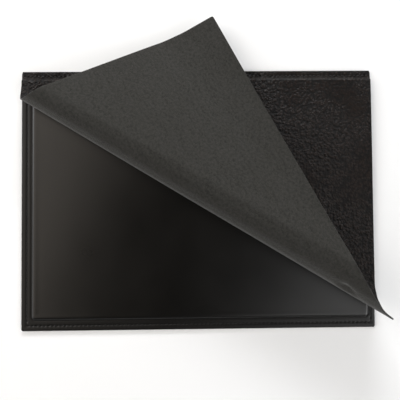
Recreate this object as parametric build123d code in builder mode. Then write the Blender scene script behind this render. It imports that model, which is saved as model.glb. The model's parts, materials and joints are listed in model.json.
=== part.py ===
from build123d import *
import os

os.makedirs("parts", exist_ok=True)

# A desk mat: a stiff leather-covered base with a raised writing panel, and a full-size leather cover
# sewn along its back edge. One front corner of the cover is folded back over itself.
# Millimetres. X runs along the long side, Y points to the back (sewn) edge, Z is up, and the origin
# is the centre of the underside.

# Base outline and layers
base_w = 440.0
base_d = 323.0
base_corner_r = 2.5
backing_t = 1.2
skin_t = 1.3
flange_top = backing_t + skin_t

# Raised panel, a little nearer the right and back edges than the left and front ones
panel_w = 417.6
panel_d = 298.0
panel_x = 2.2
panel_y = 1.0
panel_top = 6.5
panel_corner_r = 5.0
panel_edge_r = 3.0
fit_gap = 0.3
board_t = 2.6
foam_inset = 1.0
foam_gap = 0.05
foam_bottom = backing_t + board_t
foam_t = panel_top - skin_t - foam_gap - foam_bottom

# Sewing
stitch_inset = 6.3
stitch_x = 0.6
stitch_pitch = 5.1
stitch_l = 3.6
stitch_w = 0.9
stitch_h = 0.45
front_stitches = 83
side_stitches = 59
side_stitch_y = -2.0
groove_w = 1.0
groove_depth = 0.5
bobbin_w = 0.8
bobbin_h = 0.4
seam_w = base_w - 2 * stitch_inset
seam_d = base_d - 2 * stitch_inset

# Cover sheet
cover_w = 438.0
cover_t = 1.6
cover_under = 6.9
cover_front = -161.5
cover_back = 153.1
margin_front = 153.5
margin_back = base_d / 2

# Folded corner. The crease lines fan out from the left edge to the front right corner, and the
# sheet turns by the same angle at each. Two more creases let the tip level out again, each given
# by how far it crosses the left and front edges from the corner's point.
crease_count = 8
crease_turn = 24.55
crease_gap = 0.4
left_first = 146.0
left_pitch = 11.5
right_first = -112.2
right_pitch = 15.7
tip_creases_at = [(66.0, 322.0), (42.0, 150.0)]
tip_turn = 9.3
reach = 60.0


def crease(index):
    """Both ends of a crease in the flat cover, from beyond its left edge to beyond its right one."""
    left_y = left_first - index * left_pitch
    right_y = right_first - index * right_pitch
    slope = (right_y - left_y) / base_w
    return (
        Vector(-base_w / 2 - reach, left_y - slope * reach),
        Vector(base_w / 2 + reach, right_y + slope * reach),
    )


def tip_crease(up_left_edge, along_front):
    """Both ends of a crease that crosses the corner near its tip."""
    left = Vector(-cover_w / 2, cover_front + up_left_edge)
    front = Vector(-cover_w / 2 + along_front, cover_front)
    beyond = (front - left).normalized() * reach
    return left - beyond, front + beyond


def level_line(y):
    """Both ends of a line across the sheet at one Y."""
    return Vector(-base_w, y), Vector(base_w, y)


def shifted(ends, distance):
    """A line moved sideways in the sheet, towards the back edge when distance is positive."""
    start, finish = ends
    along = (finish - start).normalized()
    sideways = Vector(-along.Y, along.X) * distance
    return start + sideways, finish + sideways


def hinge_axis(ends):
    """The axis of a crease, along the flesh side of the leather."""
    start, finish = ends
    return Axis((start.X, start.Y, cover_under), (finish.X - start.X, finish.Y - start.Y, 0))


def cover_piece(back_line, front_line):
    """The part of the flat cover between two lines, with its edges cut on a slant to meet when bent."""
    back_left, back_right = shifted(back_line, -crease_gap / 2)
    front_left, front_right = shifted(front_line, crease_gap / 2)
    corners = [(p.X, p.Y) for p in (back_left, back_right, front_right, front_left)]
    with BuildPart() as piece:
        with BuildSketch(Plane.XY.offset(cover_under)):
            with Locations((0, (cover_back + cover_front) / 2)):
                Rectangle(cover_w, cover_back - cover_front)
            Polygon(*corners, align=None, mode=Mode.INTERSECT)
        extrude(amount=cover_t, taper=crease_turn / 2)
    return piece.part


def folded(piece, crossed, tips_crossed=0):
    """A piece of the flat cover turned about every crease between it and the main sheet."""
    for ends in reversed(tip_creases[:tips_crossed]):
        piece = piece.rotate(hinge_axis(ends), tip_turn)
    for ends in reversed(creases[:crossed]):
        piece = piece.rotate(hinge_axis(ends), -crease_turn)
    return piece


def save(piece, name):
    """Labels one solid or group of solids and writes it to its own file."""
    piece.label = name
    export_step(piece, f"parts/{name}.step")


creases = [crease(i) for i in range(crease_count)]
tip_creases = [tip_crease(up, along) for up, along in tip_creases_at]
beyond_back = level_line(base_d)
beyond_front = level_line(-base_d)

# Underside leather, with a shallow groove that sinks the lower thread
with BuildPart() as base_backing:
    with BuildSketch():
        RectangleRounded(base_w, base_d, base_corner_r)
    extrude(amount=backing_t)
    with BuildSketch():
        with Locations((stitch_x, 0)):
            Rectangle(seam_w + groove_w, seam_d + groove_w)
            Rectangle(seam_w - groove_w, seam_d - groove_w, mode=Mode.SUBTRACT)
    extrude(amount=groove_depth, mode=Mode.SUBTRACT)
base_backing.part.label = "base_backing"

# Lower thread, one continuous line inside the groove
with BuildPart() as bobbin_thread:
    with BuildSketch(Plane.XY.offset(groove_depth - bobbin_h)):
        with Locations((stitch_x, 0)):
            Rectangle(seam_w + bobbin_w, seam_d + bobbin_w)
            Rectangle(seam_w - bobbin_w, seam_d - bobbin_w, mode=Mode.SUBTRACT)
    extrude(amount=bobbin_h)
bobbin_thread.part.label = "bobbin_thread"

# Stiff board inside the raised panel
board_w = panel_w - 2 * skin_t - 2 * fit_gap
board_d = panel_d - 2 * skin_t - 2 * fit_gap
with BuildPart() as stiffener_board:
    with BuildSketch(Plane.XY.offset(backing_t)):
        with Locations((panel_x, panel_y)):
            RectangleRounded(board_w, board_d, panel_corner_r - skin_t)
    extrude(amount=board_t)
stiffener_board.part.label = "stiffener_board"

# Thin foam that softens the writing surface
with BuildPart() as foam_pad:
    with BuildSketch(Plane.XY.offset(foam_bottom)):
        with Locations((panel_x, panel_y)):
            RectangleRounded(
                board_w - 2 * foam_inset, board_d - 2 * foam_inset, panel_corner_r - skin_t
            )
    extrude(amount=foam_t)
foam_pad.part.label = "foam_pad"

# Smooth top leather: a flat border all round, pressed up over the board as the raised panel
with BuildPart() as base_skin:
    with BuildSketch(Plane.XY.offset(backing_t)):
        RectangleRounded(base_w, base_d, base_corner_r)
    extrude(amount=skin_t)
    with BuildSketch(Plane.XY.offset(backing_t)):
        with Locations((panel_x, panel_y)):
            RectangleRounded(panel_w, panel_d, panel_corner_r)
    extrude(amount=panel_top - backing_t)
    fillet(base_skin.edges().group_by(Axis.Z)[-1], radius=panel_edge_r)
    with BuildSketch(Plane.XY.offset(backing_t)):
        with Locations((panel_x, panel_y)):
            RectangleRounded(
                panel_w - 2 * skin_t, panel_d - 2 * skin_t, panel_corner_r - skin_t
            )
    extrude(amount=panel_top - skin_t - backing_t, mode=Mode.SUBTRACT)
base_skin.part.label = "base_skin"

# Upper thread along the two sides and the front of the border
with BuildPart() as edge_thread:
    with BuildSketch(Plane.XY.offset(flange_top)):
        with Locations((stitch_x, -seam_d / 2)):
            with GridLocations(stitch_pitch, 0, front_stitches, 1):
                SlotOverall(stitch_l, stitch_w)
        with Locations(
            (stitch_x - seam_w / 2, side_stitch_y), (stitch_x + seam_w / 2, side_stitch_y)
        ):
            with GridLocations(0, stitch_pitch, 1, side_stitches):
                SlotOverall(stitch_l, stitch_w, rotation=90)
    extrude(amount=stitch_h)
edge_thread.part.label = "edge_thread"

# Back margin of the cover, sewn flat onto the border
with BuildPart() as cover_margin:
    with BuildSketch(Plane.XY.offset(flange_top)):
        with Locations((0, (margin_front + margin_back) / 2)):
            Rectangle(cover_w, margin_back - margin_front)
    extrude(amount=cover_t)
cover_margin.part.label = "cover_margin"

# Thread that holds the margin down
with BuildPart() as seam_thread:
    with BuildSketch(Plane.XY.offset(flange_top + cover_t)):
        with Locations((stitch_x, seam_d / 2)):
            with GridLocations(stitch_pitch, 0, front_stitches, 1):
                SlotOverall(stitch_l, stitch_w)
    extrude(amount=stitch_h)
seam_thread.part.label = "seam_thread"

export_step(base_backing.part, "parts/base_backing.step")
export_step(bobbin_thread.part, "parts/bobbin_thread.step")
export_step(stiffener_board.part, "parts/stiffener_board.step")
export_step(foam_pad.part, "parts/foam_pad.step")
export_step(base_skin.part, "parts/base_skin.step")
export_step(edge_thread.part, "parts/edge_thread.step")
export_step(cover_margin.part, "parts/cover_margin.step")
export_step(seam_thread.part, "parts/seam_thread.step")

# Main sheet of the cover, then the strips that carry it round the fold, then the folded corner
save(cover_piece(beyond_back, creases[0]), "cover_panel")
for i in range(1, crease_count):
    save(folded(cover_piece(creases[i - 1], creases[i]), i), f"fold_strip_{i}")
save(folded(cover_piece(creases[-1], tip_creases[0]), crease_count), "corner_flap")

# End of the corner, which levels out again over its own two creases
save(folded(cover_piece(tip_creases[0], tip_creases[1]), crease_count, 1), "flap_end")
save(folded(cover_piece(tip_creases[1], beyond_front), crease_count, 2), "corner_tip")
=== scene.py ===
"""The looks of the desk mat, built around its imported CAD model. Metres, +Z up, +Y to the back."""

import json
import math

import bpy
import numpy as np
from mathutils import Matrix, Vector

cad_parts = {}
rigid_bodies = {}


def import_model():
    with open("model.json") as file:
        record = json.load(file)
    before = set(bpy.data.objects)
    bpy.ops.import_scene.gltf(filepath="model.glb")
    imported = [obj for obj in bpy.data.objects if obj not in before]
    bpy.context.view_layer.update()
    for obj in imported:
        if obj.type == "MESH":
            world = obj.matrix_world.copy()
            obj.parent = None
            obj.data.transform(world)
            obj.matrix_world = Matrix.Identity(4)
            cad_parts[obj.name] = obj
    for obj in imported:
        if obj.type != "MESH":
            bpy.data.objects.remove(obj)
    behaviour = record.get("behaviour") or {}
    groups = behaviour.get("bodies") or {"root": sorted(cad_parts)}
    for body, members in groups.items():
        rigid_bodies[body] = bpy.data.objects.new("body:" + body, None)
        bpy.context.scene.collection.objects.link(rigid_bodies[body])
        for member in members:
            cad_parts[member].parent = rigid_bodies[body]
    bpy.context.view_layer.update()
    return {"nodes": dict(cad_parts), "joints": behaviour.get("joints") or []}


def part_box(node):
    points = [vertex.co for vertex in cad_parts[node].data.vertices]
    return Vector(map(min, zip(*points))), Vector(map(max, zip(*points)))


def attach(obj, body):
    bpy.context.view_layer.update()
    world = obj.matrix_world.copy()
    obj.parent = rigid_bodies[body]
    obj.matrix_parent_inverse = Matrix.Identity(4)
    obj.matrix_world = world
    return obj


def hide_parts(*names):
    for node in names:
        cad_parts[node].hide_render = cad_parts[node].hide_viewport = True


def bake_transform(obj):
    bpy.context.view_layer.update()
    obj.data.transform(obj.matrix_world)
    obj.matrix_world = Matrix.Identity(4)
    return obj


MM = 0.001
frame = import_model()

# ---------------------------------------------------------------- sizes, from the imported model

backing_lo, backing_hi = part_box("base_backing")
base_lo, base_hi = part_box("base_skin")
board_lo, board_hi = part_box("stiffener_board")
foam_lo, foam_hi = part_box("foam_pad")
edge_lo, edge_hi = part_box("edge_thread")
seam_lo, seam_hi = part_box("seam_thread")
bobbin_lo, bobbin_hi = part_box("bobbin_thread")
margin_lo, margin_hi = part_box("cover_margin")
cover_lo, cover_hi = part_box("cover_panel")

PANEL_PAST_BOARD = 1.6 * MM  # leather and fitting gap between the board's rim and the panel's
BASE_HALF = ((base_hi.x - base_lo.x) / 2, (base_hi.y - base_lo.y) / 2)
BASE_CORNER = 2.5 * MM
FOAM_CORNER = 0.7 * MM
PANEL_AT = ((board_lo.x + board_hi.x) / 2, (board_lo.y + board_hi.y) / 2)
PANEL_HALF = (
    (board_hi.x - board_lo.x) / 2 + PANEL_PAST_BOARD,
    (board_hi.y - board_lo.y) / 2 + PANEL_PAST_BOARD,
)
PANEL_CORNER = 5.0 * MM
BORDER_TOP = margin_lo.z
PANEL_TOP = base_hi.z

STITCH_PITCH = 5.1 * MM
STITCH_HALF_W = 0.45 * MM
SEAM_Y = (seam_lo.y + seam_hi.y) / 2
SEAM_X = (edge_lo.x + STITCH_HALF_W, edge_hi.x - STITCH_HALF_W)
FRONT_SEAM_Y = edge_lo.y + STITCH_HALF_W
FRONT_STITCHES = round((seam_hi.x - seam_lo.x) / STITCH_PITCH)
SIDE_STITCHES = round((edge_hi.y - FRONT_SEAM_Y) / STITCH_PITCH) - 1
SIDE_STITCH_Y = edge_hi.y - 1.8 * MM - (SIDE_STITCHES - 1) * STITCH_PITCH / 2
SEAM_INSET = SEAM_X[0] - base_lo.x

# The cover sheet, flat: its flesh side faces down, and the folded corner shows it
COVER_T = cover_hi.z - cover_lo.z
FLESH_Z = cover_lo.z
COVER_HALF_W = cover_hi.x - 0.6 * MM
COVER_FRONT = base_lo.y + 0.3 * MM
COVER_BACK = base_hi.y


# ---------------------------------------------------------------- small tools


def smoothstep(t):
    """0 to 1 with level ends."""
    t = np.clip(t, 0.0, 1.0)
    return t * t * (3 - 2 * t)


def smootherstep(t):
    """0 to 1 with level ends that also start and stop without a kink in their curve."""
    t = np.clip(t, 0.0, 1.0)
    return t**3 * (t * (6 * t - 15) + 10)


def bump(x, width):
    """A soft bell, 1 at x = 0."""
    return np.exp(-((x / width) ** 2))


def outside_rounded(x, y, at, half, corner):
    """Signed distance from a rounded rectangle, positive outside it."""
    qx = np.abs(x - at[0]) - half[0] + corner
    qy = np.abs(y - at[1]) - half[1] + corner
    outer = np.hypot(np.maximum(qx, 0), np.maximum(qy, 0))
    return outer + np.minimum(np.maximum(qx, qy), 0) - corner


def new_object(name, points, faces, materials, face_material=None, uv=None, smooth=True):
    """A mesh object from arrays, with a flat-sheet UV for each point where one is given."""
    mesh = bpy.data.meshes.new(name)
    mesh.from_pydata([tuple(p) for p in points], [], [tuple(f) for f in faces])
    for m in materials:
        mesh.materials.append(m)
    if face_material is not None:
        mesh.polygons.foreach_set("material_index", np.array(face_material, np.int32))
    mesh.polygons.foreach_set("use_smooth", [smooth] * len(mesh.polygons))
    if uv is not None:
        layer = mesh.uv_layers.new(name="flat")
        corner = np.zeros(len(mesh.loops), np.int32)
        mesh.loops.foreach_get("vertex_index", corner)
        layer.data.foreach_set("uv", np.asarray(uv, np.float32)[corner].ravel())
    mesh.update()
    obj = bpy.data.objects.new(name, mesh)
    bpy.context.scene.collection.objects.link(obj)
    return obj


def grid_faces(rows, cols, first=0):
    """Quads of a grid of rows x cols points."""
    r, c = np.meshgrid(np.arange(rows - 1), np.arange(cols - 1), indexing="ij")
    a = (r * cols + c).ravel() + first
    return np.stack([a, a + 1, a + cols + 1, a + cols], axis=1)


# ---------------------------------------------------------------- materials


class Shader:
    """A material's nodes, with short calls for the ones used here."""

    def __init__(self, name):
        self.material = bpy.data.materials.new(name)
        self.material.use_nodes = True
        self.tree = self.material.node_tree
        self.tree.nodes.clear()
        out = self.node("ShaderNodeOutputMaterial")
        self.surface = self.node("ShaderNodeBsdfPrincipled")
        self.link(self.surface.outputs["BSDF"], out.inputs["Surface"])

    def node(self, kind, **values):
        made = self.tree.nodes.new(kind)
        for key, value in values.items():
            setattr(made, key, value)
        return made

    def link(self, a, b):
        self.tree.links.new(a, b)

    def put(self, target, value):
        if isinstance(value, bpy.types.NodeSocket):
            self.link(value, target)
        else:
            target.default_value = value

    def set(self, **values):
        names = {
            "color": "Base Color",
            "rough": "Roughness",
            "specular": "Specular IOR Level",
            "sheen": "Sheen Weight",
            "sheen_rough": "Sheen Roughness",
            "normal": "Normal",
        }
        for key, value in values.items():
            self.put(self.surface.inputs[names[key]], value)

    def flat_place(self):
        return self.node("ShaderNodeUVMap", uv_map="flat").outputs["UV"]

    def solid_place(self):
        return self.node("ShaderNodeTexCoord").outputs["Object"]

    def scaled(self, place, scale, shift=(0, 0, 0)):
        made = self.node("ShaderNodeMapping")
        self.link(place, made.inputs["Vector"])
        made.inputs["Scale"].default_value = scale
        made.inputs["Location"].default_value = shift
        return made.outputs["Vector"]

    def noise(self, place, scale, detail=2.0, rough=0.5, distortion=0.0):
        made = self.node("ShaderNodeTexNoise")
        self.link(place, made.inputs["Vector"])
        made.inputs["Scale"].default_value = scale
        made.inputs["Detail"].default_value = detail
        made.inputs["Roughness"].default_value = rough
        made.inputs["Distortion"].default_value = distortion
        return made

    def voronoi(self, place, scale, feature="F1", smooth=0.3):
        made = self.node("ShaderNodeTexVoronoi", feature=feature)
        self.link(place, made.inputs["Vector"])
        made.inputs["Scale"].default_value = scale
        if feature == "SMOOTH_F1":
            made.inputs["Smoothness"].default_value = smooth
        return made.outputs["Distance"]

    def math(self, operation, a, b):
        made = self.node("ShaderNodeMath", operation=operation)
        self.put(made.inputs[0], a)
        self.put(made.inputs[1], b)
        return made.outputs[0]

    def ramp(self, value, stops):
        made = self.node("ShaderNodeValToRGB")
        self.link(value, made.inputs["Fac"])
        ramp = made.color_ramp
        while len(ramp.elements) < len(stops):
            ramp.elements.new(0.5)
        for element, (place, color) in zip(ramp.elements, stops):
            element.position = place
            element.color = (*color, 1.0)
        return made.outputs["Color"]

    def span(self, value, low, high, to_low=0.0, to_high=1.0):
        made = self.node("ShaderNodeMapRange")
        self.put(made.inputs["Value"], value)
        made.inputs["From Min"].default_value = low
        made.inputs["From Max"].default_value = high
        made.inputs["To Min"].default_value = to_low
        made.inputs["To Max"].default_value = to_high
        return made.outputs["Result"]

    def mix(self, factor, a, b):
        made = self.node("ShaderNodeMix", data_type="RGBA")
        self.put(made.inputs["Factor"], factor)
        self.put(made.inputs[6], a if isinstance(a, bpy.types.NodeSocket) else (*a, 1.0))
        self.put(made.inputs[7], b if isinstance(b, bpy.types.NodeSocket) else (*b, 1.0))
        return made.outputs[2]

    def jolt(self, place, scale, amount):
        """The place moved about by a coarse noise, so that a pattern doesn't look mechanical."""
        wander = self.noise(place, scale, 1.0)
        away = self.node("ShaderNodeVectorMath", operation="SUBTRACT")
        self.link(wander.outputs["Color"], away.inputs[0])
        away.inputs[1].default_value = (0.5, 0.5, 0.5)
        size = self.node("ShaderNodeVectorMath", operation="SCALE")
        self.link(away.outputs[0], size.inputs[0])
        size.inputs["Scale"].default_value = amount
        total = self.node("ShaderNodeVectorMath", operation="ADD")
        self.link(place, total.inputs[0])
        self.link(size.outputs[0], total.inputs[1])
        return total.outputs[0]

    def relief(self, height, distance, strength, normal=None):
        made = self.node("ShaderNodeBump")
        made.inputs["Strength"].default_value = strength
        made.inputs["Distance"].default_value = distance
        self.link(height, made.inputs["Height"])
        if normal is not None:
            self.link(normal, made.inputs["Normal"])
        return made.outputs["Normal"]


def smooth_leather():
    """Glossy black leather: tiny pores, faint wrinkles and a slightly cloudy polish."""
    s = Shader("smooth_black_leather")
    place = s.solid_place()
    cloud = s.noise(place, 9.0, 3.0, 0.55).outputs["Fac"]
    pores = s.voronoi(s.jolt(place, 900.0, 0.0004), 1150.0, "SMOOTH_F1", 0.45)
    wrinkle = s.noise(s.scaled(place, (1.0, 1.6, 1.0)), 260.0, 4.0, 0.6, 0.3).outputs["Fac"]
    color = s.ramp(cloud, [(0.3, (0.0016, 0.0012, 0.0007)), (0.75, (0.0028, 0.0022, 0.0014))])
    rough = s.span(cloud, 0.3, 0.75, 0.27, 0.34)
    fine = s.relief(pores, 0.00006, 0.30)
    height = s.node("ShaderNodeSeparateXYZ")
    s.link(place, height.inputs["Vector"])
    raised = s.span(height.outputs["Z"], BORDER_TOP + 0.3 * MM, BORDER_TOP + 1.6 * MM)
    rough = s.math("ADD", rough, s.span(raised, 0.0, 1.0, 0.13, 0.0))
    shine = s.span(raised, 0.0, 1.0, 0.36, 0.5)
    s.set(color=color, rough=rough, specular=shine, normal=s.relief(wrinkle, 0.00010, 0.16, fine))
    return s.material


def pebbled_leather():
    """Grain side of the cover: soft rounded pebbles of uneven size, dark brown-black; their tops carry
    painted highlight and the hollows between them painted shade.
    """
    s = Shader("pebbled_cover_leather")
    place = s.flat_place()
    moved = s.jolt(place, 160.0, 0.0016)
    cells = s.voronoi(moved, 310.0, "SMOOTH_F1", 0.30)
    small = s.voronoi(s.jolt(place, 420.0, 0.0006), 950.0, "SMOOTH_F1", 0.4)
    patch = s.noise(place, 24.0, 3.0, 0.55).outputs["Fac"]
    domes = s.math("ADD", cells, s.math("MULTIPLY", small, 0.35))
    drawn = s.noise(s.scaled(place, (1, 1, 1), (0.31, 0.12, 0)), 9.0, 2.0, 0.5).outputs["Fac"]
    depth = s.span(drawn, 0.36, 0.60, 0.45, 1.7)
    height = s.math("MULTIPLY", s.math("SUBTRACT", 1.0, domes), depth)
    # Painted shade: the colour darkens from the pebbles' tops into the hollows between them, where the
    # bump sinks
    valley = s.span(domes, 0.30, 0.85)
    # Painted highlight: the pebbles' tops are lighter, in two tones that patch mixes at random
    top = s.mix(patch, (0.0100, 0.0054, 0.0036), (0.0175, 0.0102, 0.0070))
    color = s.mix(valley, top, (0.0020, 0.0013, 0.0010))
    rough = s.span(domes, 0.2, 0.9, 0.30, 0.62)
    long_creases = s.noise(s.scaled(place, (0.6, 1.7, 1.0)), 70.0, 5.0, 0.6, 0.8).outputs["Fac"]
    coarse = s.relief(long_creases, 0.0022, 0.5)
    s.set(color=color, rough=rough, specular=0.20, normal=s.relief(height, 0.0014, 1.0, coarse))
    return s.material


def suede():
    """Flesh side of the cover: grey brushed nap, mottled at several sizes."""
    s = Shader("grey_flesh_side")
    place = s.flat_place()
    nap = s.noise(s.scaled(place, (1.0, 1.25, 1.0)), 2300.0, 3.0, 0.7).outputs["Fac"]
    tufts = s.noise(place, 330.0, 4.0, 0.7, 0.4).outputs["Fac"]
    brushed = s.scaled(s.jolt(place, 30.0, 0.01), (1.0, 2.4, 1.0))
    strokes = s.noise(brushed, 60.0, 4.0, 0.6).outputs["Fac"]
    cloud = s.noise(place, 11.0, 3.0, 0.5).outputs["Fac"]
    warm = s.mix(s.span(cloud, 0.3, 0.7), (0.0325, 0.0310, 0.0262), (0.0375, 0.0362, 0.0318))
    dark = s.mix(s.span(tufts, 0.34, 0.62), (0.0150, 0.0145, 0.0125), warm)
    color = s.mix(s.span(strokes, 0.25, 0.8, 0.0, 0.45), dark, (0.0400, 0.0390, 0.0365))
    height = s.math("ADD", s.math("MULTIPLY", nap, 0.5), tufts)
    s.set(
        color=color,
        rough=0.95,
        specular=0.12,
        sheen=0.18,
        sheen_rough=0.5,
        normal=s.relief(height, 0.0006, 0.8),
    )
    return s.material


def cut_edge():
    """Burnished dark edge where the cover was cut."""
    s = Shader("burnished_cut_edge")
    place = s.solid_place()
    fibre = s.noise(s.scaled(place, (1.0, 1.0, 3.0)), 900.0, 3.0, 0.6).outputs["Fac"]
    color = s.ramp(fibre, [(0.3, (0.0070, 0.0060, 0.0052)), (0.75, (0.0160, 0.0140, 0.0122))])
    s.set(color=color, rough=0.6, specular=0.4, normal=s.relief(fibre, 0.00012, 0.5))
    return s.material


def backing_leather():
    """Underside: matt black leather with a fine even grain."""
    s = Shader("matt_backing_leather")
    place = s.solid_place()
    cells = s.voronoi(s.jolt(place, 300.0, 0.0008), 900.0, "SMOOTH_F1", 0.4)
    patch = s.noise(place, 14.0, 3.0).outputs["Fac"]
    color = s.mix(patch, (0.0090, 0.0085, 0.0078), (0.0150, 0.0142, 0.0130))
    height = s.math("SUBTRACT", 1.0, cells)
    s.set(
        color=color,
        rough=s.span(cells, 0.2, 0.9, 0.55, 0.75),
        specular=0.4,
        normal=s.relief(height, 0.00018, 0.6),
    )
    return s.material


def thread_material():
    """Waxed black thread, with the fine lay of its fibres."""
    s = Shader("waxed_black_thread")
    place = s.solid_place()
    fibre = s.noise(place, 5200.0, 2.0, 0.6).outputs["Fac"]
    color = s.ramp(fibre, [(0.3, (0.0035, 0.0033, 0.0030)), (0.8, (0.0120, 0.0112, 0.0100))])
    s.set(color=color, rough=0.5, specular=0.45, normal=s.relief(fibre, 0.00005, 0.7))
    return s.material


def board_material():
    """Grey board: pressed fibres with flecks."""
    s = Shader("grey_board")
    place = s.solid_place()
    fibre = s.noise(s.scaled(place, (1.0, 2.2, 6.0)), 700.0, 5.0, 0.65).outputs["Fac"]
    fleck = s.voronoi(place, 420.0)
    color = s.mix(
        s.span(fleck, 0.0, 0.16),
        (0.12, 0.10, 0.08),
        s.ramp(fibre, [(0.3, (0.26, 0.24, 0.20)), (0.7, (0.36, 0.33, 0.28))]),
    )
    s.set(color=color, rough=0.9, specular=0.2, normal=s.relief(fibre, 0.0001, 0.5))
    return s.material


def foam_material():
    """Charcoal sponge with open cells, each darker towards its middle as painted shade in its pore."""
    s = Shader("thin_sponge")
    place = s.solid_place()
    cells = s.voronoi(place, 1100.0)
    # Painted shade: each cell is darkest in its middle, where the bump sinks into a pore
    color = s.ramp(cells, [(0.0, (0.02, 0.02, 0.02)), (0.7, (0.09, 0.09, 0.088))])
    s.set(color=color, rough=0.95, specular=0.2, normal=s.relief(cells, 0.0003, 0.8))
    return s.material


# ---------------------------------------------------------------- the base


def stitch_wave(distance_along, amount):
    """1 - amount at a stitch's middle and 1 at the holes between stitches."""
    return 1 - amount * (0.5 + 0.5 * np.cos(2 * math.pi * distance_along / STITCH_PITCH))


def lattice(step, foot_out, foot_in, low, high):
    """Grid lines over one direction of the base, fine at its rim and at the panel's edges.

    The base runs from low to high and the panel from foot_out to foot_in.
    """
    rim = np.array([0.0, 0.12, 0.3, 0.55, 0.9, 1.4]) * MM
    seam = np.arange(2.0, 12.5, 0.85) * MM
    wall = [np.arange(-2.4, 0.0, 0.6), np.arange(0.0, 1.6, 0.22), np.arange(1.6, 4.6, 0.5)]
    wall = np.concatenate(wall) * MM
    lines = [
        low + rim,
        high - rim,
        [v for v in low + seam if v < foot_out - 2.6 * MM],
        [v for v in high - seam if v > foot_in + 2.6 * MM],
        foot_out + wall,
        foot_in - wall,
        np.arange(foot_out + 5.5 * MM, foot_in - 5.4 * MM, step),
    ]
    return np.unique(np.round(np.concatenate(lines), 6))


def border_height(x, y):
    """Height of the base's top leather over the whole outline, border and panel together."""
    d = -outside_rounded(x, y, (0.0, 0.0), BASE_HALF, BASE_CORNER)
    out = outside_rounded(x, y, PANEL_AT, PANEL_HALF, PANEL_CORNER)

    # The thread pulls the border down along each seam, most of all at its holes
    side = np.minimum(np.abs(x - SEAM_X[0]), np.abs(x - SEAM_X[1]))
    front = np.minimum(np.abs(y - FRONT_SEAM_Y), np.abs(y - SEAM_Y))
    sewn_x = (x > SEAM_X[0] - 2 * MM) & (x < SEAM_X[1] + 2 * MM)
    sewn_y = (y > FRONT_SEAM_Y - 2 * MM) & (y < SEAM_Y + 2 * MM)
    along = np.where(front < side, x - (SEAM_X[0] + SEAM_X[1]) / 2, y - SIDE_STITCH_Y)
    near = np.minimum(np.where(sewn_x, front, 1.0), np.where(sewn_y, side, 1.0))
    valley = 0.52 * MM * bump(near, 0.9 * MM) * stitch_wave(along, 0.65)
    to_hole = np.abs((along / STITCH_PITCH) % 1 - 0.5) * STITCH_PITCH
    valley = valley + 0.55 * MM * bump(near, 0.7 * MM) * bump(to_hole, 0.75 * MM)

    # The border itself: swollen outside the seam, with a rounded rim and a groove at the panel's foot
    dome = 0.16 * MM * np.sin(math.pi * np.clip(d / SEAM_INSET, 0, 1))
    groove = 0.30 * MM * bump(out - 0.9 * MM, 0.9 * MM)
    rounding = 0.55 * MM * (1 - np.clip(d / (0.9 * MM), 0, 1)) ** 2
    ripple = 0.07 * MM * np.sin(x / (17 * MM) + 1.3 * np.sin(y / (23 * MM)))
    border = BORDER_TOP - 0.05 * MM + dome - valley - groove - rounding + ripple * (d > 1 * MM)

    # The panel: a rounded shoulder, a slight bead inside it, and an almost level top
    rise = np.clip(-out / (4.0 * MM), 0, 1)
    shoulder = 0.16 + 0.84 * np.sqrt(1 - (1 - rise) ** 2.2)
    top = PANEL_TOP - 0.10 * MM
    sag = 0.10 * MM * smoothstep(-out / (40 * MM))
    slow = 0.06 * MM * (
        np.sin(x / (61 * MM) + 0.7) * np.cos(y / (47 * MM))
        + 0.5 * np.sin(x / (29 * MM) - y / (37 * MM))
    )
    bead = 0.10 * MM * bump(-out - 5 * MM, 3 * MM)
    panel = border + (top - sag + slow * smoothstep(-out / (20 * MM)) + bead - border) * shoulder
    return np.where(out < 0, panel, border)


def rounded_in(x, y, at=(0.0, 0.0), half=BASE_HALF, corner=BASE_CORNER):
    """Points of a square-cornered grid, with each corner's square drawn in to a quarter of a disc."""
    cx = np.clip(x, at[0] - half[0] + corner, at[0] + half[0] - corner)
    cy = np.clip(y, at[1] - half[1] + corner, at[1] + half[1] - corner)
    away = np.hypot(x - cx, y - cy)
    longer = np.maximum(np.abs(x - cx), np.abs(y - cy))
    k = np.where(away > 0, longer / np.maximum(away, 1e-12), 1.0)
    return cx + (x - cx) * k, cy + (y - cy) * k


def build_base_leather(material):
    """Top leather of the base: sewn border, groove and raised panel, as one skin of real thickness."""
    xs, ys = (
        lattice(STITCH_PITCH / 5, at - half, at + half, low, high)
        for at, half, low, high in zip(PANEL_AT, PANEL_HALF, base_lo, base_hi)
    )
    gx, gy = np.meshgrid(xs, ys)
    gx, gy = rounded_in(gx, gy)
    gz = border_height(gx, gy)
    points = np.stack([gx.ravel(), gy.ravel(), gz.ravel()], axis=1)
    obj = new_object("base_leather", points, grid_faces(len(ys), len(xs)), [material])
    thick = obj.modifiers.new("leather_thickness", "SOLIDIFY")
    thick.thickness = 1.15 * MM
    thick.offset = -1.0
    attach(obj, "base")
    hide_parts("base_skin")


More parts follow.
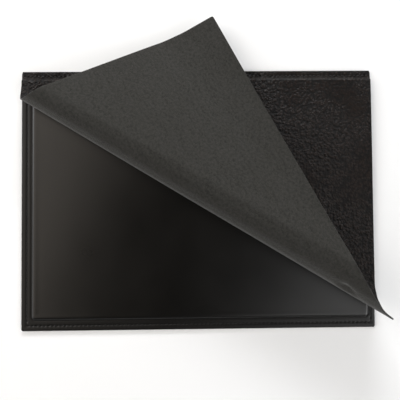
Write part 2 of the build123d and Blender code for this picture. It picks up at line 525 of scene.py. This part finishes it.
def build_backing(material):
    """Underside leather, with the row of lower stitches sunk in a shallow channel."""
    rim = np.array([0.0, 0.15, 0.4, 0.8]) * MM
    channel = np.array([-1.6, -0.8, -0.4, 0.0, 0.4, 0.8, 1.6]) * MM

    def lines(low, high, seams):
        inside = np.arange(low + 12 * MM, high - 11.9 * MM, 8 * MM)
        parts = [low + rim, high - rim, *[s + channel for s in seams], inside]
        return np.unique(np.round(np.concatenate(parts), 6))

    xs = lines(backing_lo.x, backing_hi.x, SEAM_X)
    ys = lines(backing_lo.y, backing_hi.y, (FRONT_SEAM_Y, SEAM_Y))
    gx, gy = np.meshgrid(xs, ys)
    gx, gy = rounded_in(gx, gy)
    d = -outside_rounded(gx, gy, (0.0, 0.0), BASE_HALF, BASE_CORNER)
    in_x = (gx > SEAM_X[0] - 1 * MM) & (gx < SEAM_X[1] + 1 * MM)
    in_y = (gy > FRONT_SEAM_Y - 1 * MM) & (gy < SEAM_Y + 1 * MM)
    to_side = np.minimum(np.abs(gx - SEAM_X[0]), np.abs(gx - SEAM_X[1]))
    to_end = np.minimum(np.abs(gy - FRONT_SEAM_Y), np.abs(gy - SEAM_Y))
    near = np.minimum(np.where(in_y, to_side, 1.0), np.where(in_x, to_end, 1.0))
    round_off = 0.35 * MM * (1 - np.clip(d / (0.8 * MM), 0, 1)) ** 2
    low = backing_lo.z + 0.42 * MM * bump(near, 0.75 * MM) + round_off
    high = np.full_like(gx, backing_hi.z + 0.1 * MM) - round_off * 0.3
    n = gx.size
    top = np.stack([gx.ravel(), gy.ravel(), high.ravel()], axis=1)
    bottom = np.stack([gx.ravel(), gy.ravel(), low.ravel()], axis=1)
    rows, cols = gx.shape
    upper = grid_faces(rows, cols)
    lower = grid_faces(rows, cols, n)[:, ::-1]
    ring = list(range(cols))
    ring += [r * cols + cols - 1 for r in range(1, rows)]
    ring += [(rows - 1) * cols + c for c in range(cols - 2, -1, -1)]
    ring += [r * cols for r in range(rows - 2, 0, -1)]
    walls = [(ring[i], ring[i - 1], ring[i - 1] + n, ring[i] + n) for i in range(len(ring))]
    faces = [tuple(f) for f in upper] + [tuple(f) for f in lower] + walls
    obj = new_object("base_backing_leather", np.concatenate([top, bottom]), faces, [material])
    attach(obj, "base")
    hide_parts("base_backing")


def build_foam(material):
    """Thin sponge between the board and the panel's leather, softly rounded all round."""
    inset = np.array([0.0, 0.1, 0.35, 0.7]) * MM

    def lines(low, high, count):
        inside = np.linspace(low + 8 * MM, high - 8 * MM, count)
        return np.concatenate([low + inset, inside, high - inset[::-1]])

    gx, gy = np.meshgrid(lines(foam_lo.x, foam_hi.x, 30), lines(foam_lo.y, foam_hi.y, 22))
    at = ((foam_lo.x + foam_hi.x) / 2, (foam_lo.y + foam_hi.y) / 2)
    half = ((foam_hi.x - foam_lo.x) / 2, (foam_hi.y - foam_lo.y) / 2)
    gx, gy = rounded_in(gx, gy, at, half, FOAM_CORNER)
    d = np.clip(-outside_rounded(gx, gy, at, half, FOAM_CORNER) / FOAM_CORNER, 0, 1)
    lift = np.sqrt(1 - (1 - d) ** 2)
    mid, thick = (foam_lo.z + foam_hi.z) / 2, (foam_hi.z - foam_lo.z) / 2 - 0.12 * MM
    n = gx.size
    top = np.stack([gx.ravel(), gy.ravel(), (mid + thick * lift).ravel()], axis=1)
    low = np.stack([gx.ravel(), gy.ravel(), (mid - thick * lift).ravel()], axis=1)
    faces = [tuple(f) for f in grid_faces(*gx.shape)]
    faces += [tuple(f) for f in grid_faces(*gx.shape, n)[:, ::-1]]
    obj = new_object("foam_layer", np.concatenate([top, low]), faces, [material])
    weld = obj.modifiers.new("rim", "WELD")
    weld.merge_threshold = 0.00001
    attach(obj, "base")
    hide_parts("foam_pad")


def stitches(name, places, material, face_up=1.0):
    """Short lengths of two-ply thread that dip into the leather at both ends.

    Each place is (middle, direction along the seam).
    """
    around, along = 10, 13  # points round the thread and rings along it
    turn = np.linspace(0, 2 * math.pi, around, endpoint=False)
    half = 2.05 * MM
    rng = np.random.default_rng(7)
    points, faces = [], []
    for middle, direction in places:
        lean = rng.normal(0, 0.05)
        tight = 1 + rng.normal(0, 0.04)
        cos, sin = math.cos(lean), math.sin(lean)
        x, y = direction
        forward = np.array([x * cos - y * sin, x * sin + y * cos])
        sideways = np.array([-forward[1], forward[0]])
        base = len(points)
        for k in np.linspace(-1, 1, along):
            lift = (0.30 - 0.85 * abs(k) ** 3.2) * MM * tight
            radius = 0.40 * MM * math.sqrt(max(1 - abs(k) ** 6, 0.04))
            ply = radius * (1 + 0.17 * np.cos(2 * (turn - 2.6 * k)))
            side = ply * np.cos(turn)
            up = ply * np.sin(turn) * 0.85 + lift
            xy = np.outer(np.full(around, k * half), forward) + np.outer(side, sideways)
            for i in range(around):
                points.append(
                    (middle[0] + xy[i, 0], middle[1] + xy[i, 1], middle[2] + face_up * up[i])
                )
        for r in range(along - 1):
            for i in range(around):
                a, b = base + r * around + i, base + r * around + (i + 1) % around
                quad = (a, b, b + around, a + around)
                faces.append(quad if face_up > 0 else quad[::-1])
        first, last = base, base + (along - 1) * around
        caps = (tuple(range(first, first + around)), tuple(range(last, last + around)))
        faces.append(caps[0][::-1] if face_up > 0 else caps[0])
        faces.append(caps[1] if face_up > 0 else caps[1][::-1])
    return new_object(name, points, faces, [material])


def row_of(count, middle, along_x, z):
    """Places of one straight row of stitches."""
    offsets = (np.arange(count) - (count - 1) / 2) * STITCH_PITCH
    if along_x:
        return [((middle[0] + o, middle[1], z), (1.0, 0.0)) for o in offsets]
    return [((middle[0], middle[1] + o, z), (0.0, 1.0)) for o in offsets]


def build_stitching(material):
    """The upper thread on the border, the seam through the cover's margin, and the lower thread."""
    mid_x = (SEAM_X[0] + SEAM_X[1]) / 2
    border_z = BORDER_TOP - 0.12 * MM
    front = row_of(FRONT_STITCHES, (mid_x, FRONT_SEAM_Y), True, border_z)
    sides = [
        place
        for x in SEAM_X
        for place in row_of(SIDE_STITCHES, (x, SIDE_STITCH_Y), False, border_z)
    ]
    edge = stitches("border_stitches", front + sides, material)
    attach(edge, "base")
    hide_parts("edge_thread")
    back_z = margin_hi.z - 0.22 * MM
    seam = stitches(
        "seam_stitches", row_of(FRONT_STITCHES, (mid_x, SEAM_Y), True, back_z), material
    )
    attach(seam, "base")
    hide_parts("seam_thread")
    low_z = bobbin_hi.z + 0.28 * MM
    under = [
        place
        for y in (FRONT_SEAM_Y, SEAM_Y)
        for place in row_of(FRONT_STITCHES, (mid_x, y), True, low_z)
    ]
    under += [
        place
        for x in SEAM_X
        for place in row_of(SIDE_STITCHES, (x, SIDE_STITCH_Y), False, low_z)
    ]
    lower = stitches("under_stitches", under, material, face_up=-1.0)
    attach(lower, "base")
    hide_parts("bobbin_thread")


# ---------------------------------------------------------------- the cover


LINE_X = 220 * MM  # a line on the flat sheet is its Y at -LINE_X and at +LINE_X
FOLDS = 8  # creases of the roll, before the two of the tip
COLUMNS = 72  # points across the sheet, apart from those added beside its edges
EDGE_IN = 0.32 * MM  # how far the cut edge is rounded off
GRAIN, FLESH, EDGE = 0, 1, 2  # places of the cover's materials

# The sheet bends at the hinge from the first line, is down on the border at the second one and lies
# on the panel in front of the third
HINGE_START_Y = 154.8 * MM
STEP_FOOT_Y = 153.3 * MM
SEAM_END_Y = 147.3 * MM

# A bend is partly a true arc, and partly the blend of two bodies that unrolls perfectly flat
ROW_TURNS = 12
ARC_SHARE = 0.55

# Lines that bound the two tip bends, by where they cross the left and front edges from the corner
TIP_LINES = ((88 * MM, 331 * MM), (54 * MM, 236 * MM), (29 * MM, 78 * MM))
LAST_LINE = (1.1 * MM, 3.0 * MM)

DENT_AT = (149 * MM, -137.5 * MM)
DENT_TURN = math.radians(-6)
DENT_DEPTH = 3.2 * MM
DENT_HOLLOW = 0.33  # depth of the hollow beside it; a deeper one reaches the panel when unrolled


def turned(point, axis, angle):
    """4x4 matrix of a turn about an axis through a point."""
    d = np.array(axis, float) / np.linalg.norm(axis)
    cross = np.array([[0, -d[2], d[1]], [d[2], 0, -d[0]], [-d[1], d[0], 0]])
    rot = np.eye(3) + math.sin(angle) * cross + (1 - math.cos(angle)) * cross @ cross
    matrix = np.eye(4)
    matrix[:3, :3] = rot
    matrix[:3, 3] = np.array(point) - rot @ np.array(point)
    return matrix


def apply(matrix, points):
    """Points moved by a 4x4 matrix."""
    return points @ matrix[:3, :3].T + matrix[:3, 3]


class Crease:
    """One joint of the fold, as a line on the flat sheet, and the turn that it has at rest."""

    def __init__(self, joint, carried):
        back = np.linalg.inv(carried)
        self.point = apply(back, np.array(joint["pos_m"], float)[None])[0]
        self.axis = back[:3, :3] @ np.array(joint["axis"], float)
        self.angle = -math.radians(joint["range_deg"][1])
        self.carried = carried
        self.turn = turned(self.point, self.axis, self.angle)
        self.bodies = (joint["parent"], joint["child"])
        slope = self.axis[1] / self.axis[0]
        self.line = np.array(
            [self.point[1] + slope * (end - self.point[0]) for end in (-LINE_X, LINE_X)]
        )


creases, after_all = [], np.eye(4)
for joint in frame["joints"]:
    if joint["name"] != "cover_hinge":
        creases.append(Crease(joint, after_all))
        after_all = after_all @ creases[-1].turn


def corner_line(up, along):
    """The line that crosses the left edge and the front edge at these distances from the corner."""
    left, front = -COVER_HALF_W, COVER_FRONT
    slope = -up / along
    return np.array([front + up + slope * (end - left) for end in (-LINE_X, LINE_X)])


def zones():
    """Start and end line of each crease's bend."""
    lines = [c.line for c in creases]
    half = (lines[0] - lines[1]) / 2
    starts = [np.array([SEAM_END_Y - 0.1 * MM, lines[0][1] + half[1]])]
    starts += [(lines[i - 1] + lines[i]) / 2 for i in range(1, FOLDS)]
    ends = starts[1:] + [lines[FOLDS - 1] - half]
    tip_lines = [corner_line(up, along) for up, along in TIP_LINES]
    starts += tip_lines[:2]
    ends += tip_lines[1:]
    return list(zip(starts, ends))


def outline():
    """The cover's flat outline as a closed convex polygon, with small round front corners."""
    r, steps = 2.2 * MM, 7
    w, front, back = COVER_HALF_W, COVER_FRONT, COVER_BACK
    pts = [(-w, back)]
    for k in range(steps):
        a = math.pi + (math.pi / 2) * k / (steps - 1)
        pts.append((-w + r + r * math.cos(a), front + r + r * math.sin(a)))
    for k in range(steps):
        a = 1.5 * math.pi + (math.pi / 2) * k / (steps - 1)
        pts.append((w - r + r * math.cos(a), front + r + r * math.sin(a)))
    pts.append((w, back))
    return np.array(pts)


def clip(line, polygon):
    """The leftmost and rightmost points where a line crosses the outline."""
    a = np.array([-LINE_X, line[0]])
    d = np.array([2 * LINE_X, line[1] - line[0]])
    hits = []
    for p, q in zip(polygon, np.roll(polygon, -1, axis=0)):
        e = q - p
        det = d[0] * e[1] - d[1] * e[0]
        if abs(det) > 1e-14:
            u = ((p - a)[0] * d[1] - (p - a)[1] * d[0]) / det
            if -1e-9 <= u <= 1 + 1e-9:
                hits.append(p + e * u)
    hits = sorted(hits, key=lambda h: h[0])
    return hits[0], hits[-1]


def step_height(y):
    """Underside of the flat sheet: on the border along the seam, then up over the panel's edge."""
    rise = smootherstep((STEP_FOOT_Y - y) / (STEP_FOOT_Y - SEAM_END_Y - 0.4 * MM))
    return margin_lo.z + (FLESH_Z - margin_lo.z) * rise


def step_slope(y):
    """Rise of the sheet's underside per length in Y."""
    return (step_height(y + 0.05 * MM) - step_height(y - 0.05 * MM)) / (0.1 * MM)


def unevenness(x, y):
    """The slow waves of a leather sheet that lies loose, always upwards."""
    loose = smoothstep((SEAM_END_Y - y) / (30 * MM))
    wave = (
        np.sin(x / (41 * MM) + 0.8 + 0.6 * np.sin(y / (53 * MM)))
        + np.sin(y / (33 * MM) - 0.4 + 0.8 * np.sin(x / (67 * MM)))
        + 0.5 * np.sin(x / (19 * MM) + y / (27 * MM))
    )
    return loose * 0.12 * MM * (wave + 2.5)


def dent(x, y):
    """A small crease pressed into the sheet where the roll is tightest, near its right end."""
    along = (x - DENT_AT[0]) * math.cos(DENT_TURN) + (y - DENT_AT[1]) * math.sin(DENT_TURN)
    across = (y - DENT_AT[1]) * math.cos(DENT_TURN) - (x - DENT_AT[0]) * math.sin(DENT_TURN)
    fade = np.where(along < 0, bump(along, 7 * MM), bump(along, 16 * MM))
    hollow = DENT_HOLLOW * bump(across - 7.5 * MM, 3.5 * MM)
    return DENT_DEPTH * fade * (bump(across, 4.2 * MM) - hollow)


def row_points(left, right, fractions, layer):
    """Flat points of one row at one height in the sheet's thickness, 0 flesh side to 1 grain side."""
    x = left[0] + (right[0] - left[0]) * fractions
    y = left[1] + (right[1] - left[1]) * fractions
    z = step_height(y) + unevenness(x, y) + dent(x, y)
    slope = step_slope(y)
    length = np.sqrt(1 + slope**2)
    away = COVER_T * layer
    return np.stack([x, y - away * slope / length, z + away / length], axis=1)


def ring_of(line, polygon, matrix):
    """One row of the sheet as a closed ring of points, in place and flat.

    It goes along the flesh side, the right edge, the grain side and the left edge.
    """
    left, right = clip(line, polygon)
    long = max(math.dist(left, right), 1e-6)
    e = min(EDGE_IN / long, 0.2)
    near = np.array([0.0, 1.2 * MM / long, 3 * MM / long])
    if near[-1] < 0.15:
        inner = np.concatenate([near, np.linspace(0.0, 1.0, COLUMNS)[1:-1], 1 - near[::-1]])
    else:
        inner = np.linspace(0, 1, COLUMNS + 4)
    inner = e + (1 - 2 * e) * np.sort(inner)
    ring = np.concatenate(
        [
            row_points(left, right, inner, 0.0),
            row_points(left, right, np.array([1.0]), 0.3),
            row_points(left, right, np.array([1.0]), 0.7),
            row_points(left, right, inner[::-1], 1.0),
            row_points(left, right, np.array([0.0]), 0.7),
            row_points(left, right, np.array([0.0]), 0.3),
        ]
    )
    return apply(matrix, ring), ring[:, :2]


def bend_matrices(crease, start, end):
    """Rows of one crease's bend, each with the matrix that takes flat points to their place."""
    steps = [np.eye(4)]
    for k in range(ROW_TURNS):
        line = start + (end - start) * (k + 0.5) / ROW_TURNS
        at = np.array([-LINE_X, line[0], FLESH_Z])
        axis = np.array([2 * LINE_X, line[1] - line[0], 0.0])
        same_way = 1.0 if axis @ crease.axis > 0 else -1.0
        steps.append(steps[-1] @ turned(at, axis, same_way * crease.angle / ROW_TURNS))
    # What the true arc misses of the joint's own turn, taken up gradually along the bend
    drift = crease.turn @ np.linalg.inv(steps[-1])
    rows = []
    for k, step in enumerate(steps):
        t = k / ROW_TURNS
        share = smoothstep(np.array([t]))[0]
        arc = crease.carried @ (np.eye(4) + (drift - np.eye(4)) * share) @ step
        exact = crease.carried @ turned(crease.point, crease.axis, crease.angle * share)
        mixed = ARC_SHARE * arc + (1 - ARC_SHARE) * exact
        rows.append((start + (end - start) * t, t, mixed))
    return rows


def plain_rows(start, end, count, t, matrix):
    """Rows between two lines that all move with one body."""
    return [(start + (end - start) * (k / count), t, matrix) for k in range(count + 1)]


def with_corner(rows):
    """The rows with one more through the sheet's front right corner, so that it keeps its point."""
    x, y = COVER_HALF_W - 0.65 * MM, COVER_FRONT + 0.65 * MM
    made = []
    f = (x + LINE_X) / (2 * LINE_X)
    for row, following in zip(rows, rows[1:]):
        made.append(row)
        here, there = (a[0] + (a[1] - a[0]) * f - y for a in (row[0], following[0]))
        if here > 0 > there:
            k = here / (here - there)
            made.append(tuple(old + (new - old) * k for old, new in zip(row, following)))
    return [*made, rows[-1]]


def cover_rows():
    """All pieces of the cover: name, its two bodies, and rows of (line, share of bend, matrix)."""
    spans = zones()
    bends = [bend_matrices(c, *spans[i]) for i, c in enumerate(creases)]
    straight = np.array([SEAM_END_Y, SEAM_END_Y])
    pieces = [
        (
            "cover_sheet",
            creases[0].bodies,
            plain_rows(straight, spans[0][0], 52, 0.0, np.eye(4)) + bends[0][1:],
        )
    ]
    for i in range(1, FOLDS - 1):
        pieces.append((f"cover_roll_{i}", creases[i].bodies, bends[i]))
    flap_end, tip = creases[FOLDS], creases[FOLDS + 1]
    flap = plain_rows(spans[FOLDS - 1][1], spans[FOLDS][0], 40, 1.0, flap_end.carried)
    pieces.append(("cover_flap", creases[FOLDS - 1].bodies, bends[FOLDS - 1] + flap[1:]))
    pieces.append(("cover_flap_end", flap_end.bodies, bends[FOLDS]))
    end = plain_rows(spans[FOLDS + 1][1], corner_line(*LAST_LINE), 14, 1.0, after_all)
    pieces.append(("cover_tip", tip.bodies, bends[FOLDS + 1] + end[1:]))
    return [(n, b, with_corner(r)) for n, b, r in pieces]


def ring_normals(rings, before, after):
    """Outward normals of a stack of rings, using the neighbouring pieces' rows at its ends."""
    stack = [before, *rings, after]
    p = np.stack([ring for ring in stack if ring is not None])
    along = np.gradient(p, axis=0)
    around = np.roll(p, -1, axis=1) - np.roll(p, 1, axis=1)
    n = np.cross(around, along)
    n /= np.maximum(np.linalg.norm(n, axis=2, keepdims=True), 1e-12)
    lo = 1 if before is not None else 0
    return n[lo : lo + len(rings)]


def ring_faces(count, n):
    """Faces of a closed stack of rings with n points on each side, and the faces' materials."""
    size = 2 * n + 4
    around = [FLESH] * (n - 1) + [EDGE] * 3 + [GRAIN] * (n - 1) + [EDGE] * 3
    faces, face_material = [], around * (count - 1)
    for r in range(count - 1):
        for c in range(size):
            a, b = r * size + c, r * size + (c + 1) % size
            faces.append((a, b, b + size, a + size))
    for first, flip in ((0, False), ((count - 1) * size, True)):
        quads = [(c, 2 * n + 1 - c, 2 * n - c, c + 1) for c in range(n - 1)]
        quads += [(n - 1, n + 2, n + 1, n), (0, 2 * n + 3, 2 * n + 2, 2 * n + 1)]
        for quad in quads:
            placed = tuple(first + corner for corner in quad)
            faces.append(placed[::-1] if flip else placed)
            face_material.append(EDGE)
    return faces, face_material


def bent_sheet(name, rings, flats, shares, normals, materials):
    """An object from rings of points, in their places at rest.

    Its mesh is first laid out by each ring's share of the bend, and its points are then moved to the
    rings.
    """
    size = len(rings[0])
    faces, face_material = ring_faces(len(rings), (size - 4) // 2)
    share = np.repeat(shares, size)
    places = np.stack([share, np.zeros_like(share), np.zeros_like(share)], axis=1)
    obj = new_object(name, places, faces, materials, face_material, np.concatenate(flats))
    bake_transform(obj)
    points = np.concatenate(rings).astype(np.float32)
    obj.data.vertices.foreach_set("co", points.ravel())
    obj.data.update()
    obj.data.normals_split_custom_set_from_vertices([tuple(v) for v in normals.reshape(-1, 3)])
    return obj


def build_cover(materials):
    """The cover in pieces that each bend across one joint, cut from one flat sheet."""
    polygon = outline()
    pieces = [
        (name, bodies, rows, [ring_of(line, polygon, matrix) for line, _, matrix in rows])
        for name, bodies, rows in cover_rows()
    ]
    for i, (name, bodies, rows, placed) in enumerate(pieces):
        rings, flats = zip(*placed)
        before = pieces[i - 1][3][-2][0] if i else None
        after = pieces[i + 1][3][1][0] if i + 1 < len(pieces) else None
        normals = ring_normals(rings, before, after)
        shares = [t for _, t, _ in rows]
        obj = bent_sheet(name, rings, flats, shares, normals, materials)
        ends = np.array([clip(line, polygon) for line, _, _ in rows])
    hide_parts("cover_panel", "fold_strip_1")
    for i in range(1, FOLDS - 1):
        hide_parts(f"fold_strip_{i + 1}")
    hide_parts("corner_flap")
    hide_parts("flap_end")
    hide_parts("corner_tip")


def build_cover_seam(materials):
    """Back margin of the cover: sewn to the border, then up over the panel's edge."""
    xs = np.arange(-COVER_HALF_W + EDGE_IN, COVER_HALF_W - EDGE_IN, STITCH_PITCH / 5)
    xs = np.append(xs, COVER_HALF_W - EDGE_IN)
    ys = np.concatenate(
        [
            COVER_BACK - np.array([0.0, 0.15, 0.4, 0.8, 1.4]) * MM,
            np.arange(COVER_BACK - 2.1 * MM, SEAM_Y - 3.0 * MM, -0.42 * MM),
            np.linspace(STEP_FOOT_Y - 1.1 * MM, SEAM_END_Y, 16),
        ]
    )
    ys = np.unique(np.round(ys, 6))[::-1]
    along = xs - (SEAM_X[0] + SEAM_X[1]) / 2
    to_hole = np.abs((along / STITCH_PITCH) % 1 - 0.5) * STITCH_PITCH
    pucker = stitch_wave(along, 0.8)
    rings, flats = [], []
    for y in ys:
        back = COVER_BACK - y
        pinch = 0.62 * MM * np.exp(-(((y - SEAM_Y) / (1.25 * MM)) ** 2))
        worn = 0.10 * MM * np.sin(xs / (23 * MM)) * np.sin(math.pi * np.clip(back / (6 * MM), 0, 1))
        swell = 0.18 * MM * np.sin(math.pi * np.clip((SEAM_Y - y) / (4.5 * MM), 0, 1))
        low, slope = float(step_height(y)), float(step_slope(y))
        length = math.sqrt(1 + slope**2)
        thin = 0.42 * MM * (1 - min(back / (0.8 * MM), 1)) ** 2

        def layer(x, share, off):
            away = COVER_T * share
            z = low + away / length + off
            return np.stack([x, np.full_like(x, y - away * slope / length), z + 0 * x], axis=1)

        flesh_side = layer(xs, 0.0, thin - 0.12 * MM * bump(y - SEAM_Y, 1.4 * MM))
        hole = 0.5 * MM * bump(y - SEAM_Y, 0.7 * MM) * bump(to_hole, 0.75 * MM)
        top = -pinch * pucker - hole + worn + swell - thin
        grain_side = layer(xs[::-1], 1.0, top[::-1])
        edges = [
            layer(np.array([x]), share, 0.0)
            for x, share in (
                (COVER_HALF_W, 0.3),
                (COVER_HALF_W, 0.7),
                (-COVER_HALF_W, 0.7),
                (-COVER_HALF_W, 0.3),
            )
        ]
        ring = np.concatenate([flesh_side, *edges[:2], grain_side, *edges[2:]])
        rings.append(ring)
        flats.append(np.stack([ring[:, 0], np.full(len(ring), y)], axis=1))
    shares = np.clip((HINGE_START_Y - ys) / (HINGE_START_Y - SEAM_END_Y - 0.5 * MM), 0, 1)
    normals = ring_normals(rings, None, None)
    obj = bent_sheet("cover_seam", rings, flats, shares, normals, materials)
    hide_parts("cover_margin")


# ---------------------------------------------------------------- stage


def build_stage():
    """A plain pale floor, a soft sky and large soft lights round a camera that looks straight down."""
    s = Shader("pale_floor")
    grain = s.noise(s.solid_place(), 3.0, 2.0).outputs["Fac"]
    s.set(color=s.ramp(grain, [(0.0, (0.93, 0.93, 0.93)), (1.0, (0.96, 0.96, 0.96))]), rough=0.9)
    half = 4.0  # metres
    corners = [(-half, -half, 0), (half, -half, 0), (half, half, 0), (-half, half, 0)]
    floor = new_object("floor", corners, [(0, 1, 2, 3)], [s.material], smooth=False)
    floor.location.z = backing_lo.z - 0.05 * MM

    world = bpy.data.worlds.new("soft_sky")
    bpy.context.scene.world = world
    world.use_nodes = True
    tree = world.node_tree
    sky = tree.nodes["Background"]
    place = tree.nodes.new("ShaderNodeTexCoord")
    parts = tree.nodes.new("ShaderNodeSeparateXYZ")
    fade = tree.nodes.new("ShaderNodeMapRange")
    fade.interpolation_type = "SMOOTHSTEP"
    fade.inputs["From Min"].default_value = 0.15
    fade.inputs["From Max"].default_value = 0.62
    fade.inputs["To Min"].default_value = 0.50
    fade.inputs["To Max"].default_value = 0.04
    tree.links.new(place.outputs["Generated"], parts.inputs["Vector"])
    tree.links.new(parts.outputs["Z"], fade.inputs["Value"])
    tree.links.new(fade.outputs["Result"], sky.inputs["Strength"])
    daylight, warm, white = (0.97, 0.985, 1.0), (1.0, 0.90, 0.79), (1.0, 1.0, 1.0)
    sky.inputs["Color"].default_value = (*daylight, 1.0)

    def softbox(name, at, size, power, color, turn=None):
        """An area light that faces the mat, or faces straight down, turned about the vertical."""
        light = bpy.data.lights.new(name, "AREA")
        light.shape = "RECTANGLE"
        light.size, light.size_y = size
        light.energy = power
        light.color = color
        lamp = bpy.data.objects.new(name, light)
        bpy.context.scene.collection.objects.link(lamp)
        lamp.location = at
        if turn is None:
            lamp.rotation_mode = "QUATERNION"
            lamp.rotation_quaternion = Vector(at).to_track_quat("Z", "Y")
        else:
            lamp.rotation_euler = (0, 0, turn)

    # The two cards reflect in the writing panel, and the rest light the leather from the sides
    softbox("left_card", (-0.88, 0.24, 1.2), (0.9, 1.7), 7.4, warm, math.radians(-17.7))
    softbox("right_card", (0.80, -0.59, 1.2), (0.9, 1.1), 4.9, white, math.radians(-34))
    softbox("key_left", (-2.0, 1.0, 1.5), (1.6, 1.4), 18.5, daylight)
    softbox("key_back", (0.0, 2.2, 0.80), (1.5, 0.4), 52.0, daylight)
    softbox("left_wall", (-1.7, 0.1, 0.85), (2.6, 0.9), 12.0, white)
    softbox("right_wall", (1.7, -0.6, 0.8), (1.8, 0.9), 11.0, white)
    softbox("key_right", (1.9, -1.1, 1.4), (1.2, 1.0), 8.0, white)

    # The camera's place, turn and lens were fitted to the outline of the base in the photo
    camera = bpy.data.cameras.new("camera")
    camera.sensor_width = 36.0
    camera.lens = 40.04
    camera.clip_start = 0.02
    seat = bpy.data.objects.new("camera", camera)
    bpy.context.scene.collection.objects.link(seat)
    seat.location = (-5.9 * MM, -17.8 * MM, 560 * MM)
    seat.rotation_mode = "ZYX"
    seat.rotation_euler = (0.0303, -0.0151, -0.0084)
    bpy.context.scene.camera = seat
    bpy.context.scene.view_settings.view_transform = "Standard"


# ---------------------------------------------------------------- making it

build_stage()
cover_materials = [pebbled_leather(), suede(), cut_edge()]  # in the order GRAIN, FLESH, EDGE
build_base_leather(smooth_leather())
build_backing(backing_leather())
build_foam(foam_material())
build_stitching(thread_material())
build_cover_seam(cover_materials)
build_cover(cover_materials)
board = frame["nodes"]["stiffener_board"]
board.data.materials.clear()
board.data.materials.append(board_material())
